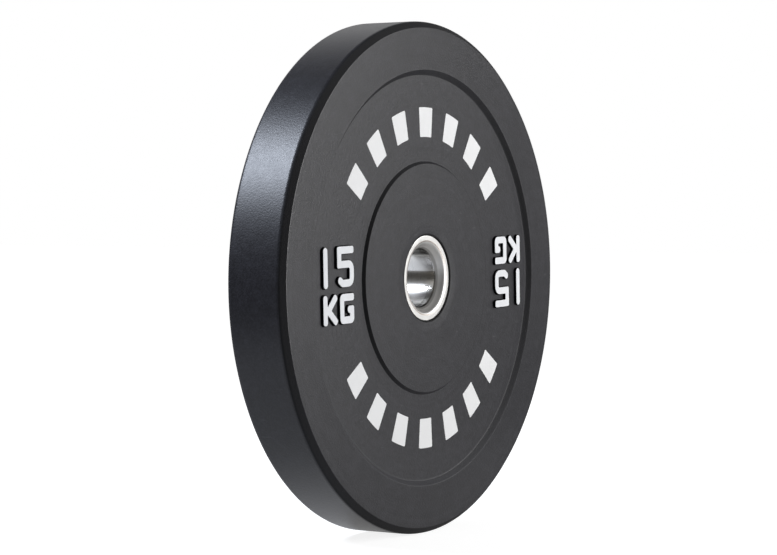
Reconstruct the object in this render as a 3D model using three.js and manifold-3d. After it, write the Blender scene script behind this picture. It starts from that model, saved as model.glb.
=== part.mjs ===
// A 15 kg bumper plate: a moulded rubber disc around a fabricated stainless steel hub insert.
// Millimetres, +Z up. The plate stands on its tread. Its axis is Y, the front face looks along -Y,
// and the origin is the centre of the bore.
import * as THREE from 'three';
import { mergeVertices } from 'three/addons/utils/BufferGeometryUtils.js';
import Module from 'manifold-3d';

// Rubber disc
const plateDiameter = 450;
const plateThickness = 58;
const edgeChamferRadial = 5.7;
const edgeChamferAxial = 4.6;
const rimWidth = 42.4;
const recessDepth = 4;
const recessWallRun = 4.2;
const bossRadius = 100.4;
const bossWallRun = 2.2;
const bossDrop = 1.4;
const dishWidth = 9;

// Hub insert
const boreRadius = 25.3;
const lipWidth = 5.4;
const lipDrop = 3;
const lipStandOff = 0.4;
const lipEdgeChamfer = 0.7;
const lipThickness = 4.5;
const leadInRun = 7;
const leadInDepth = 10;
const leadInRound = 2.2;
const boreLand = 2.5;
const neckWall = 3.9;
const sleeveWall = 3.7;
const collarStandOff = 1.5;
const anchorReach = 33;
const anchorThickness = 5;
const anchorHoleCount = 8;
const weldLeg = 4;

// Raised weight marking
const markingHeight = 1.9;
const skinThickness = 0.5;

// Sizes of the marking, a number above its unit, in shares of the width of the web that it stands on
const markingShares = {
  numberHeight: 0.4485,
  unitHeight: 0.3377,
  lineSpacing: 0.0752,
  numberStroke: 0.091,
  unitStroke: 0.0884,
  digitWidth: 0.343,
  digitSpacing: 0.1689,
  letterWidth: 0.2982,
  letterSpacing: 0.029,
  drop: 0.0435,
};

// Where the dish round the lip bends, in shares of its width and depth
const dishShares = { across: 0.444, up: 0.62 };

// Radii of the anchor plate's holes and notches, in shares of its free ring outside the weld
const anchorShares = { hole: 0.26, notch: 0.21 };

// Clearances between bonded, pressed and welded pieces
const bondGap = 0.3;
const pressGap = 0.1;
const skinGap = 0.05;
const overrun = 1;

// Facets of a full turn, and of one rounded corner of a character, and numbers that a vertex has
const discFacets = 80;
const hubFacets = 48;
const holeFacets = 12;
const cornerFacets = 3;
const coordinateCount = 3;

// Worked-out radii and distances from the mid-plane
const plateRadius = plateDiameter / 2;
const rimInnerRadius = plateRadius - rimWidth;
const webOuterRadius = rimInnerRadius - recessWallRun;
const webInnerRadius = bossRadius + bossWallRun;
const webWidth = webOuterRadius - webInnerRadius;
const markingRadius = (webOuterRadius + webInnerRadius) / 2;
const faceY = plateThickness / 2;
const bossY = faceY - bossDrop;
const recessY = faceY - recessDepth;
const lipY = faceY - lipDrop;
const collarRimY = lipY - lipStandOff;
const lipBackY = lipY - lipThickness;
const anchorY = anchorThickness / 2;
const collarEndY = anchorY + weldLeg + collarStandOff;
const sleeveEndY = lipY - leadInDepth - boreLand;
const leadInRadius = boreRadius + leadInRun;
const lipRadius = leadInRadius + lipWidth;
const sleeveRadius = boreRadius + sleeveWall;
const socketRadius = sleeveRadius + pressGap;
const collarNeckRadius = socketRadius + neckWall;
const anchorRadius = sleeveRadius + anchorReach;
const weldToeRadius = socketRadius + weldLeg;
const anchorRing = anchorRadius - weldToeRadius;
const anchorHoleCircle = (anchorRadius + weldToeRadius) / 2;
const anchorHoleRadius = anchorRing * anchorShares.hole;
const anchorNotchRadius = anchorRing * anchorShares.notch;

const rubber = new THREE.MeshStandardMaterial({ color: 0x2b2b2d, roughness: 0.62, metalness: 0 });
const whiteSkin = new THREE.MeshStandardMaterial({ color: 0xeceef0, roughness: 0.5, metalness: 0 });
const stainless = new THREE.MeshStandardMaterial({ color: 0xc9c6c0, roughness: 0.28, metalness: 1 });
const mildSteel = new THREE.MeshStandardMaterial({ color: 0x8b8a88, roughness: 0.5, metalness: 1 });

const wasm = await Module();
wasm.setup();

// A closed three.js geometry as a solid that can be joined and cut
function solid(geometry) {
  const bare = geometry.clone();
  bare.deleteAttribute('normal');
  bare.deleteAttribute('uv');
  const merged = mergeVertices(bare);
  const mesh = new wasm.Mesh({
    numProp: coordinateCount,
    vertProperties: new Float32Array(merged.attributes.position.array),
    triVerts: new Uint32Array(merged.index.array),
  });
  return new wasm.Manifold(mesh);
}

// The solid back as a three.js geometry
function geometryOf(body) {
  const mesh = body.getMesh();
  const geometry = new THREE.BufferGeometry();
  geometry.setAttribute('position', new THREE.BufferAttribute(mesh.vertProperties, 3));
  geometry.setIndex(new THREE.BufferAttribute(mesh.triVerts, 1));
  geometry.computeVertexNormals();
  return geometry;
}

// A closed profile of [radius, distance along the axis] turned about the plate's axis, flat side down
function turned(profile, facets) {
  const points = profile.map(([radius, y]) => new THREE.Vector2(radius, y));
  if (THREE.ShapeUtils.isClockWise(points)) {
    points.reverse();
  }
  points.push(points[0].clone());
  return new THREE.LatheGeometry(points, facets, Math.PI / facets);
}

// A round bar along the plate's axis, centred on the mid-plane, at a place on a circle
function axialBar(radius, length, circleRadius, angle) {
  const bar = new THREE.CylinderGeometry(radius, radius, length, holeFacets);
  bar.translate(circleRadius * Math.cos(angle), 0, circleRadius * Math.sin(angle));
  return solid(bar);
}

// A whole profile from its front half, given as [radius, distance from the mid-plane]
function withBack(half) {
  const front = half.map(([radius, y]) => [radius, -y]);
  return [...front, ...half.toReversed()];
}

// Places of the anchor plate's flow holes, and of the notches half a pitch on
const anchorPitch = 2 * Math.PI / anchorHoleCount;
const holeAngles = Array.from({ length: anchorHoleCount }, (_, i) => i * anchorPitch);
const notchAngles = holeAngles.map((angle) => angle + anchorPitch / 2);

// Strokes of each character as [x, z, outer radius]: places in shares of the box of its centre lines,
// and the radius that rounds the outside of the turn or end there, in shares of the stroke
const characterShares = {
  digit_1: [[[0, 1, 0.45], [0, 0, 0.45]]],
  digit_5: [[
    [1, 1, 0.32], [0, 1, 0.3], [0, 0.573, 0.25], [1, 0.573, 1.05], [1, 0, 1.05], [0.24, 0, 0.8],
    [0.05, 0.075, 0.48],
  ]],
  letter_k: [[[0, 0, 0.4], [0, 1, 0.4]], [[0.97, 1, 0.4], [0.29, 0.48, 0], [1, 0, 0.4]]],
  letter_g: [[
    [1, 1, 0.3], [0, 1, 0.65], [0, 0, 0.65], [1, 0, 0.65], [1, 0.46, 0.3], [0.77, 0.46, 0.4],
  ]],
};

// Corners along both sides of a stroke, each with its own radius, square at the ends
function strokeCorners(line, stroke) {
  const half = stroke / 2;
  const last = line.length - 1;
  const points = line.map(({ x, y }) => new THREE.Vector2(x, y));
  const along = points.slice(1).map((point, i) => point.clone().sub(points[i]).normalize());
  points[0].addScaledVector(along[0], -half);
  points[last].addScaledVector(along[last - 1], half);
  const oneSide = (hand) => points.map((point, i) => {
    const before = along[Math.max(i - 1, 0)];
    const after = along[Math.min(i, last - 1)];
    const sum = before.clone().add(after);
    const reach = hand * half / (1 + before.dot(after));
    const atEnd = i === 0 || i === last;
    const outside = atEnd || hand * before.cross(after) < 0;
    const radius = outside ? line[i].radius : Math.max(line[i].radius - stroke, 0);
    return { at: new THREE.Vector2(point.x - sum.y * reach, point.y + sum.x * reach), radius };
  });
  return [...oneSide(1), ...oneSide(-1).reverse()];
}

// A closed shape through the corners, each rounded by its radius
function roundedShape(corners) {
  const shape = new THREE.Shape();
  corners.forEach(({ at, radius }, i) => {
    const previous = corners.at(i - 1).at;
    const next = corners[(i + 1) % corners.length].at;
    const back = previous.clone().sub(at).normalize();
    const ahead = next.clone().sub(at).normalize();
    const trim = radius / Math.tan(Math.acos(back.dot(ahead)) / 2);
    const start = at.clone().addScaledVector(back, trim);
    const end = at.clone().addScaledVector(ahead, trim);
    if (i === 0) {
      shape.moveTo(start.x, start.y);
    } else {
      shape.lineTo(start.x, start.y);
    }
    if (radius > 0) {
      shape.quadraticCurveTo(at.x, at.y, end.x, end.y);
    }
  });
  shape.closePath();
  return shape;
}

// One character as a solid, its lower left corner at the origin, standing up towards -Y
function character(name, width, height, stroke, rise) {
  const strokes = characterShares[name].map((shares) => {
    const line = shares.map(([x, z, radius]) => ({
      x: stroke / 2 + x * (width - stroke),
      y: stroke / 2 + z * (height - stroke),
      radius: radius * stroke,
    }));
    const bar = new THREE.ExtrudeGeometry(roundedShape(strokeCorners(line, stroke)), {
      depth: rise,
      curveSegments: cornerFacets,
      bevelEnabled: false,
    });
    bar.rotateX(Math.PI / 2);
    return solid(bar);
  });
  return strokes.reduce((sum, next) => sum.add(next));
}

// The marking's sizes, and where each character stands, from the middle of the web's width
const entries = Object.entries(markingShares).map(([name, share]) => [name, share * webWidth]);
const marking = Object.fromEntries(entries);
const tall = marking.numberHeight + marking.lineSpacing + marking.unitHeight;
const top = tall / 2 - marking.drop;
const left = -marking.letterWidth - marking.letterSpacing / 2;
const digitPitch = marking.numberStroke + marking.digitSpacing;
const letterPitch = marking.letterWidth + marking.letterSpacing;
const number = { height: marking.numberHeight, stroke: marking.numberStroke, z: top - marking.numberHeight };
const unit = { height: marking.unitHeight, stroke: marking.unitStroke, z: top - tall };
const placed = [
  { name: 'digit_1', width: marking.numberStroke, x: left, ...number },
  { name: 'digit_5', width: marking.digitWidth, x: left + digitPitch, ...number },
  { name: 'letter_k', width: marking.letterWidth, x: left, ...unit },
  { name: 'letter_g', width: marking.letterWidth, x: left + letterPitch, ...unit },
];

// The two sides of the plate, and the two markings on each side, as turns about Z and Y
const sides = { front: 0, back: Math.PI };
const markings = { left: 0, right: Math.PI };

// Rubber disc
function rubberBody() {
  const gripRadius = sleeveRadius + bondGap;
  const neckRadius = collarNeckRadius + bondGap;
  const seatRadius = lipRadius + bondGap;
  const dishBend = {
    radius: seatRadius + dishWidth * dishShares.across,
    y: THREE.MathUtils.lerp(collarRimY, bossY, dishShares.up),
  };
  const half = [
    [anchorRadius + bondGap, anchorY + bondGap],
    [sleeveRadius + weldLeg + 2 * bondGap, anchorY + bondGap],
    [gripRadius, anchorY + weldLeg + 2 * bondGap],
    [gripRadius, collarEndY - bondGap],
    [neckRadius, collarEndY - bondGap],
    [neckRadius, lipBackY - bondGap],
    [seatRadius, lipBackY - bondGap],
    [seatRadius, collarRimY],
    [dishBend.radius, dishBend.y],
    [seatRadius + dishWidth, bossY],
    [bossRadius, bossY],
    [webInnerRadius, recessY],
    [webOuterRadius, recessY],
    [rimInnerRadius, faceY],
    [plateRadius - edgeChamferRadial, faceY],
    [plateRadius, faceY - edgeChamferAxial],
  ];
  let body = solid(turned(withBack(half), discFacets));

  const through = anchorThickness + 2 * (bondGap + overrun);
  for (const angle of holeAngles) {
    body = body.add(axialBar(anchorHoleRadius - bondGap, through, anchorHoleCircle, angle));
  }
  for (const angle of notchAngles) {
    body = body.add(axialBar(anchorNotchRadius - bondGap, through, anchorRadius, angle));
  }

  const rise = markingHeight - skinThickness;
  for (const sideTurn of Object.values(sides)) {
    for (const markingTurn of Object.values(markings)) {
      for (const { name, width, x, height, stroke, z } of placed) {
        const base = character(name, width, height, stroke, rise + overrun);
        const onFront = base.translate([x - markingRadius, overrun - recessY, z]);
        const turns = new THREE.Matrix4().makeRotationZ(sideTurn);
        turns.multiply(new THREE.Matrix4().makeRotationY(markingTurn));
        body = body.add(onFront.transform(turns.toArray()));
      }
    }
  }
  return geometryOf(body);
}

// Turned stainless collar: flat lip, conical lead-in and the socket that the sleeve is pressed into
function collar() {
  const coneEnd = leadInDepth - leadInRound;
  return turned([
    [leadInRadius, -lipY],
    [boreRadius + leadInRound, -lipY + coneEnd],
    [boreRadius, -lipY + leadInDepth],
    [boreRadius, -sleeveEndY - pressGap],
    [socketRadius, -sleeveEndY - pressGap],
    [socketRadius, -collarEndY],
    [collarNeckRadius, -collarEndY],
    [collarNeckRadius, -lipBackY],
    [lipRadius, -lipBackY],
    [lipRadius, -lipY + lipEdgeChamfer],
    [lipRadius - lipEdgeChamfer, -lipY],
  ], hubFacets);
}

// Stainless tube between the collars, with the bar's bore
function sleeve() {
  return turned([
    [boreRadius, -sleeveEndY],
    [boreRadius, sleeveEndY],
    [sleeveRadius, sleeveEndY],
    [sleeveRadius, -sleeveEndY],
  ], hubFacets);
}

// Flat steel disc that keys the insert into the rubber, with flow holes and rim notches
function anchorPlate() {
  let plate = solid(turned([
    [socketRadius, -anchorY],
    [socketRadius, anchorY],
    [anchorRadius, anchorY],
    [anchorRadius, -anchorY],
  ], hubFacets));
  const through = anchorThickness + 2 * overrun;
  for (const angle of holeAngles) {
    plate = plate.subtract(axialBar(anchorHoleRadius, through, anchorHoleCircle, angle));
  }
  for (const angle of notchAngles) {
    plate = plate.subtract(axialBar(anchorNotchRadius, through, anchorRadius, angle));
  }
  return geometryOf(plate);
}

// Fillet weld in the corner between the sleeve and the anchor plate
function weldBead() {
  const onPlate = -anchorY - pressGap;
  return turned([
    [socketRadius, onPlate - weldLeg],
    [socketRadius, onPlate],
    [weldToeRadius, onPlate],
  ], hubFacets);
}

// White skin on the top of one raised character
function skin({ name, width, height, stroke }) {
  return geometryOf(character(name, width, height, stroke, skinThickness - skinGap));
}

function named(name, geometry, material) {
  const mesh = new THREE.Mesh(geometry, material);
  mesh.name = name;
  return mesh;
}

const plate = new THREE.Group();
plate.add(named('rubber_body', rubberBody(), rubber));
plate.add(named('hub_sleeve', sleeve(), stainless));
plate.add(named('anchor_plate', anchorPlate(), mildSteel));

for (const [side, sideTurn] of Object.entries(sides)) {
  const half = new THREE.Group();
  half.rotation.z = sideTurn;
  half.add(named(`hub_collar_${side}`, collar(), stainless));
  half.add(named(`weld_bead_${side}`, weldBead(), mildSteel));
  for (const [where, markingTurn] of Object.entries(markings)) {
    const group = new THREE.Group();
    group.rotation.y = markingTurn;
    for (const one of placed) {
      const face = named(`${one.name}_${side}_${where}`, skin(one), whiteSkin);
      face.position.set(one.x - markingRadius, skinThickness - skinGap - recessY - markingHeight, one.z);
      group.add(face);
    }
    half.add(group);
  }
  plate.add(half);
}

export default plate;
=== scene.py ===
import itertools
import math

import bpy
import numpy as np
from mathutils import Matrix, Vector


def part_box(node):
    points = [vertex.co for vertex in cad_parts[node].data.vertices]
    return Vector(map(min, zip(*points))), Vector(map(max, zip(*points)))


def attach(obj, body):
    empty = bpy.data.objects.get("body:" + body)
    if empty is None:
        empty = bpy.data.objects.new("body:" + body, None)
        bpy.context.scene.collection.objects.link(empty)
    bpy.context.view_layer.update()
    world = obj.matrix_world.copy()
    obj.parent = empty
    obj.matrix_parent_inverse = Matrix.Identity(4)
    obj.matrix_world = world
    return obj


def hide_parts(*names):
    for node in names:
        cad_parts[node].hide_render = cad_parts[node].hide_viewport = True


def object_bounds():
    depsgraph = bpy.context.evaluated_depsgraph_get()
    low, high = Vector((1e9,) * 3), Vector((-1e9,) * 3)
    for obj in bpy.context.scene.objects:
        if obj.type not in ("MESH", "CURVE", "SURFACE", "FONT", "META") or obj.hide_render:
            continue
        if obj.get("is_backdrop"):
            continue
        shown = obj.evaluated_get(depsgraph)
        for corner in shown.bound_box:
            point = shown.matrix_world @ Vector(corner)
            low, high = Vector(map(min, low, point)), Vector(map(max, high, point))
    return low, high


bl_info = {
    "name": "Bumper Plate",
    "version": (1, 0, 0),
    "blender": (4, 5, 0),
    "location": "3D View > Sidebar > Plate",
    "description": "A moulded rubber weight plate with a steel hub and raised white markings",
    "category": "Add Mesh",
}

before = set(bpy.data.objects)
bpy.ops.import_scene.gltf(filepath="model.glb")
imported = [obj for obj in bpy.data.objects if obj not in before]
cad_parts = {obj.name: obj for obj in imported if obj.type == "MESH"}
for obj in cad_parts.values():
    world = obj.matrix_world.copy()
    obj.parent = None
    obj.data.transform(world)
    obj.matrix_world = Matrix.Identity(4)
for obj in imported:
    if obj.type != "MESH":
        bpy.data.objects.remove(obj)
CAD_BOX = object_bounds()

MM = 0.001
BODY = "root"

# Facets of a full turn on the frame's solids, which stand on a flat side
DISC_FACETS = 80
HUB_FACETS = 48

# Half turns to each side and to each marking on it, as signs of x, y and z
SIDES = {"front": (1, 1, 1), "back": (-1, -1, 1)}
MARKINGS = {"left": (1, 1, 1), "right": (-1, 1, -1)}


def true_radius(node, facets):
    """Radius of a faceted round node: half its width, over the cosine of half a facet."""
    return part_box(node)[1].x / math.cos(math.pi / facets)


PLATE_RADIUS = true_radius("rubber_body", DISC_FACETS)
LIP_RADIUS = true_radius("hub_collar_front", HUB_FACETS)
SLEEVE_RADIUS = true_radius("hub_sleeve", HUB_FACETS)
ANCHOR_RADIUS = true_radius("anchor_plate", HUB_FACETS)
FACE_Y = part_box("rubber_body")[1].y
LIP_Y = -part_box("hub_collar_front")[0].y
COLLAR_END_Y = -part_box("hub_collar_front")[1].y
SLEEVE_END_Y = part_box("hub_sleeve")[1].y
ANCHOR_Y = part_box("anchor_plate")[1].y
BEAD_Y = -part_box("weld_bead_front")[0].y
BEAD_RADIUS = true_radius("weld_bead_front", HUB_FACETS)
MARKING_TOP_Y = -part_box("digit_1_front_left")[0].y

# Clearances of the frame's solids: rubber round the steel, and press fits and welds
BOND_GAP = 0.3 * MM
FIT_GAP = 0.1 * MM

# Slopes of the disc's forms, seen face on, and the depth of its chamfer
WALL_RUN = 4.2 * MM
BOSS_RUN = 2.2 * MM
CHAMFER_RUN = 5.7 * MM
CHAMFER_DEPTH = 4.6 * MM

# Walls of the steel collars, and their lead-in cone
COLLAR_WALL = 3.9 * MM
FLANGE_DEPTH = 4.5 * MM
CONE_RUN = 6.0 * MM
CONE_DEPTH = 7.9 * MM

# Holes and notches of the anchor plate by turns, their radii as shares of the width of its free
# ring, and how far the welds reach out from the sleeve
FLOW_OPENINGS = 16
HOLE_SHARE = 0.26
NOTCH_SHARE = 0.21
WELD_REACH = 4.1 * MM

# Steps of a full turn on the weld beads, and their ripples: how many, how deep as a share, how far
# they fade in and how they slant with height
BEAD_TURNS = 480
RIPPLES = 60
RIPPLE_DEPTH = 0.02
RIPPLE_EDGE = 1.5 * MM
RIPPLE_SLANT = 3 / MM

# Printed bars of an arc: how many, and in degrees how far apart and how wide
BARS = 7
BAR_TURN = 17.5
BAR_SPAN = 8.5

# The ink's height, and the bevel of its edge
INK_HEIGHT = 0.08 * MM
INK_BEVEL = 0.05 * MM

# Edges sharper than this stay sharp
SMOOTH_ANGLE = math.radians(38.0)


def length(name, description, default):
    """A length property in metres."""
    return bpy.props.FloatProperty(
        name=name, description=description, default=default, min=0.0,
        subtype="DISTANCE", unit="LENGTH", precision=5,
    )


def angle(name, description, default):
    """An angle property, with its default in degrees."""
    return bpy.props.FloatProperty(
        name=name, description=description, default=math.radians(default),
        subtype="ANGLE", unit="ROTATION",
    )


def turn_steps(name, description, default):
    """A whole number of steps of a full turn."""
    return bpy.props.IntProperty(name=name, description=description, default=default, min=48)


def colour(name, description, default):
    """A linear colour property."""
    return bpy.props.FloatVectorProperty(
        name=name, description=description, default=default, min=0.0, max=1.0, size=3,
        subtype="COLOR",
    )


def share(name, description, default, most=1.0):
    """A plain number property from 0 up."""
    return bpy.props.FloatProperty(
        name=name, description=description, default=default, min=0.0, max=most)


class BumperPlateSizes(bpy.types.PropertyGroup):
    """Sizes of the plate's visible forms."""

    rim_width: length("Rim width", "Flat raised ring at the edge, seen face on", 42.4 * MM)
    recess_depth: length("Recess depth", "How far the web lies below the rim", 4.0 * MM)
    boss_radius: length("Boss radius", "Radius of the raised middle", 100.4 * MM)
    boss_drop: length("Boss drop", "How far the boss lies below the rim", 1.4 * MM)
    bore_radius: length("Bore radius", "Radius of the hole for the bar", 25.3 * MM)
    edge_round: length("Edge rounding", "Radius that softens the moulded edges", 0.5 * MM)
    character_draft: length(
        "Character draft", "How much wider a raised character is at its foot", 0.25 * MM)
    character_border: length(
        "Character border", "Dark border between a character's side and its white top", 0.5 * MM)
    arc_inner_radius: length("Arc inner radius", "Inner radius of the printed arcs", 124.0 * MM)
    arc_outer_radius: length("Arc outer radius", "Outer radius of the printed arcs", 150.0 * MM)
    disc_turns: turn_steps("Disc steps", "Steps of a full turn on the rubber disc", 288)
    hub_turns: turn_steps("Hub steps", "Steps of a full turn on the steel hub", 192)


class BumperPlateFinishes(bpy.types.PropertyGroup):
    """Colours and grain of the plate's materials."""

    rubber: colour("Rubber", "Moulded rubber", (0.0086, 0.0081, 0.0112))
    white: colour("White", "Skin on the raised characters", (0.888, 0.899, 0.92))
    print_white: colour("Print", "Printed arcs", (0.92, 0.92, 0.92))
    stainless: colour("Stainless", "Turned hub steel", (0.86, 0.845, 0.82))
    mild: colour("Mild steel", "Anchor plate and welds inside", (0.42, 0.41, 0.40))
    rubber_roughness: share("Rubber roughness", "Roughness of the moulded rubber", 0.41)
    grain: share("Grain", "Strength of the rubber's moulded grain", 1.0)
    grooves: share("Grooves", "Strength of the fine turned grooves of the mould", 0.5)


class BumperPlateStage(bpy.types.PropertyGroup):
    """Camera and light of the studio."""

    camera_distance: length("Camera distance", "From the bore's centre to the camera", 2.2)
    camera_turn: angle("Camera turn", "How far it stands round to the left of the front", 57.37)
    camera_rise: angle("Camera rise", "How far it stands above the bore", 1.639)
    camera_lens: bpy.props.FloatProperty(
        name="Lens", description="Focal length in millimetres on a 36 mm sensor",
        default=115.09, min=1.0)
    ambient: share("Ambient light", "Strength of the light from all round", 0.04, 5.0)
    front: share("Front light", "Brightness of the lamp in front", 12.6, 50.0)
    key: share("Key light", "Brightness of the raised lamp in front on the right", 4.5, 50.0)
    side: share("Side light", "Brightness of the lamp at the right, low over the face", 0.35, 50.0)
    back: share("Back light", "Brightness of the lamp behind on the upper left", 44.0, 90.0)
    right: share("Right light", "Brightness of the lamp beyond the right side", 3.0, 50.0)
    top: share("Top light", "Brightness of the lamp behind on the upper right", 0.77, 50.0)
    table: share("Table glow", "How bright metal and gloss show the table", 0.42, 2.0)
    surround: share(
        "Surroundings", "How bright metal and gloss show the white surroundings", 0.12, 2.0)


def unit(vectors):
    """Each row divided by its length."""
    return vectors / np.linalg.norm(vectors, axis=-1, keepdims=True)


def rounded_loop(corners, radii, steps=6, hold=0.3 * MM):
    """A closed loop with each corner turned into an arc.

    With b and a the directions from a corner to its neighbours and h half the angle between them,
    an arc of radius r touches both edges r / tan h away, about a centre r / sin h along b + a. It
    is drawn by turning its first spoke in equal steps. A point on each edge just outside the arc
    holds the flat.
    """
    corners = np.asarray(corners, float)
    radii = np.broadcast_to(np.asarray(radii, float), len(corners))
    before = np.roll(corners, 1, axis=0) - corners
    after = np.roll(corners, -1, axis=0) - corners
    back, ahead = unit(before), unit(after)
    half = np.arccos(np.clip((back * ahead).sum(-1), -1, 1)) / 2
    trim = radii / np.tan(half)
    centre = corners + unit(back + ahead) * (radii / np.sin(half))[:, None]
    spoke = corners + back * trim[:, None] - centre
    hand = np.sign(-back[:, 0] * ahead[:, 1] + back[:, 1] * ahead[:, 0])
    sweep = (hand * (math.pi - 2 * half))[:, None] * np.linspace(0, 1, steps + 1)
    cosine, sine = np.cos(sweep), np.sin(sweep)
    arc = centre[:, None] + np.stack([
        spoke[:, :1] * cosine - spoke[:, 1:] * sine,
        spoke[:, :1] * sine + spoke[:, 1:] * cosine,
    ], -1)
    free_back = np.linalg.norm(before, axis=-1) - trim - np.roll(trim, 1)
    free_ahead = np.linalg.norm(after, axis=-1) - trim - np.roll(trim, -1)
    held_back = arc[:, 0] + back * np.minimum(hold, free_back / 3)[:, None]
    held_ahead = arc[:, -1] + ahead * np.minimum(hold, free_ahead / 3)[:, None]
    points = np.concatenate([held_back[:, None], arc, held_ahead[:, None]], 1).reshape(-1, 2)
    apart = np.linalg.norm(points - np.roll(points, 1, axis=0), axis=-1) > 1e-3 * MM
    return points[apart]


def dense_loop(points, spacing):
    """The closed loop with its long edges cut into equal parts no longer than the spacing."""
    following = np.roll(points, -1, axis=0)
    lengths = np.linalg.norm(following - points, axis=-1)
    parts = np.maximum(np.ceil(lengths / spacing), 1).astype(int)
    start = np.repeat(np.arange(len(points)), parts)
    step = np.arange(parts.sum()) - np.repeat(np.cumsum(parts) - parts, parts)
    portion = (step / parts[start])[:, None]
    return points[start] * (1 - portion) + following[start] * portion


def anticlockwise(loop):
    """The loop, reversed where its neighbouring points' cross products have a negative sum."""
    ahead = np.roll(loop, -1, axis=0)
    area = (loop[:, 0] * ahead[:, 1] - loop[:, 1] * ahead[:, 0]).sum() / 2
    return loop if area > 0 else loop[::-1]


def grid_quads(rows, columns, close_rows=True):
    """Four-sided faces between neighbouring points of a grid whose columns always close."""
    index = np.arange(rows * columns).reshape(rows, columns)
    beside = np.roll(index, -1, axis=1)
    quads = np.stack([index, beside, np.roll(beside, -1, axis=0), np.roll(index, -1, axis=0)], -1)
    return (quads if close_rows else quads[:-1]).reshape(-1, 4)


def turned(loop, turns):
    """Closed surface of revolution about Y, as points, quads and no caps.

    The loop's points (r, y) are carried round the turn t as (r sin t, y, r cos t).
    """
    loop = anticlockwise(loop)
    t = np.linspace(0, 2 * math.pi, turns, endpoint=False)[:, None]
    radius, y = loop[:, 0], np.broadcast_to(loop[:, 1], (turns, len(loop)))
    points = np.stack([radius * np.sin(t), y, radius * np.cos(t)], -1)
    return points.reshape(-1, 3), grid_quads(turns, len(loop)), []


def raised(loop, levels):
    """Closed block on a loop (x, z), growing towards -Y, as points, quads and its two caps.

    At each level (inset, y) the loop is moved inwards by the inset along its normals. A point's
    normal is the average of its two edges' normals, scaled so that both edges move by the inset.
    The first level is the hidden foot and the last one is the top.
    """
    loop = anticlockwise(loop)
    edge = unit(np.roll(loop, -1, axis=0) - loop)
    both = edge + np.roll(edge, 1, axis=0)
    normal = np.stack([both[:, 1], -both[:, 0]], -1)
    normal *= 2 / (both ** 2).sum(-1, keepdims=True)
    inset, y = np.asarray(levels, float).T
    flat = loop[None] - normal[None] * inset[:, None, None]
    level = np.broadcast_to(y[:, None], flat.shape[:2])
    points = np.stack([flat[..., 0], level, flat[..., 1]], -1)
    count = len(loop)
    foot = list(range(count - 1, -1, -1))
    top = list(range(count * (len(inset) - 1), count * len(inset)))
    return points.reshape(-1, 3), grid_quads(len(inset), count, close_rows=False), [foot, top]


def joined(parts):
    """Several (points, quads, caps) sets as one, with the faces' numbers moved along."""
    points, quads, caps, offset = [], [], [], 0
    for own_points, own_quads, own_caps in parts:
        points.append(own_points)
        quads.append(own_quads + offset)
        caps += [[i + offset for i in cap] for cap in own_caps]
        offset += len(own_points)
    return np.concatenate(points), np.concatenate(quads), caps


def piece(name, shape, material, replaced=()):
    """A smooth mesh object with sharp corners, which rides on the plate."""
    points, quads, caps = shape
    mesh = bpy.data.meshes.new(name)
    mesh.from_pydata(points.tolist(), [], quads.tolist() + caps)
    mesh.validate()
    mesh.shade_smooth()
    mesh.set_sharp_from_angle(angle=SMOOTH_ANGLE)
    mesh.materials.append(material)
    made = bpy.data.objects.new(name, mesh)
    bpy.context.scene.collection.objects.link(made)
    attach(made, BODY)
    if replaced:
        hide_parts(*replaced)


def operator_pair(operation):
    """The methods of an operator and of its reflected form, which add a Math node."""
    def straight(signal, other):
        return signal.maths(operation, signal, other)

    def reflected(signal, other):
        return signal.maths(operation, other, signal)

    return straight, reflected


class Signal:
    """One output of a shader node, for use in expressions on values."""

    __add__, __radd__ = operator_pair("ADD")
    __sub__, __rsub__ = operator_pair("SUBTRACT")
    __mul__, __rmul__ = operator_pair("MULTIPLY")
    __truediv__, __rtruediv__ = operator_pair("DIVIDE")
    __pow__, __rpow__ = operator_pair("POWER")

    def __init__(self, finish, node, output=0):
        self.finish = finish
        self.node = node
        self.socket = node.outputs[output] if node.outputs else None

    def __abs__(self):
        return self.maths("ABSOLUTE", self)

    def out(self, output):
        """Another output of the same node."""
        return Signal(self.finish, self.node, output)

    def maths(self, operation, *values, clamp=False):
        """A Math node on values and signals."""
        settings = {"operation": operation, "use_clamp": clamp}
        return self.finish.node("ShaderNodeMath", settings, dict(enumerate(values)))

    def clamped(self):
        """The signal held between 0 and 1."""
        return self.maths("ADD", self, 0.0, clamp=True)

    def step(self, low, high):
        """0 below the low value, 1 above the high one, smooth between them."""
        settings = {"interpolation_type": "SMOOTHSTEP"}
        sockets = {"Value": self, "From Min": low, "From Max": high}
        return self.finish.node("ShaderNodeMapRange", settings, sockets)

    def band(self, rise, fall):
        """1 between a rising and a falling step, each given as its low and its high value."""
        return self.step(*rise) * (1.0 - self.step(*fall))


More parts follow.
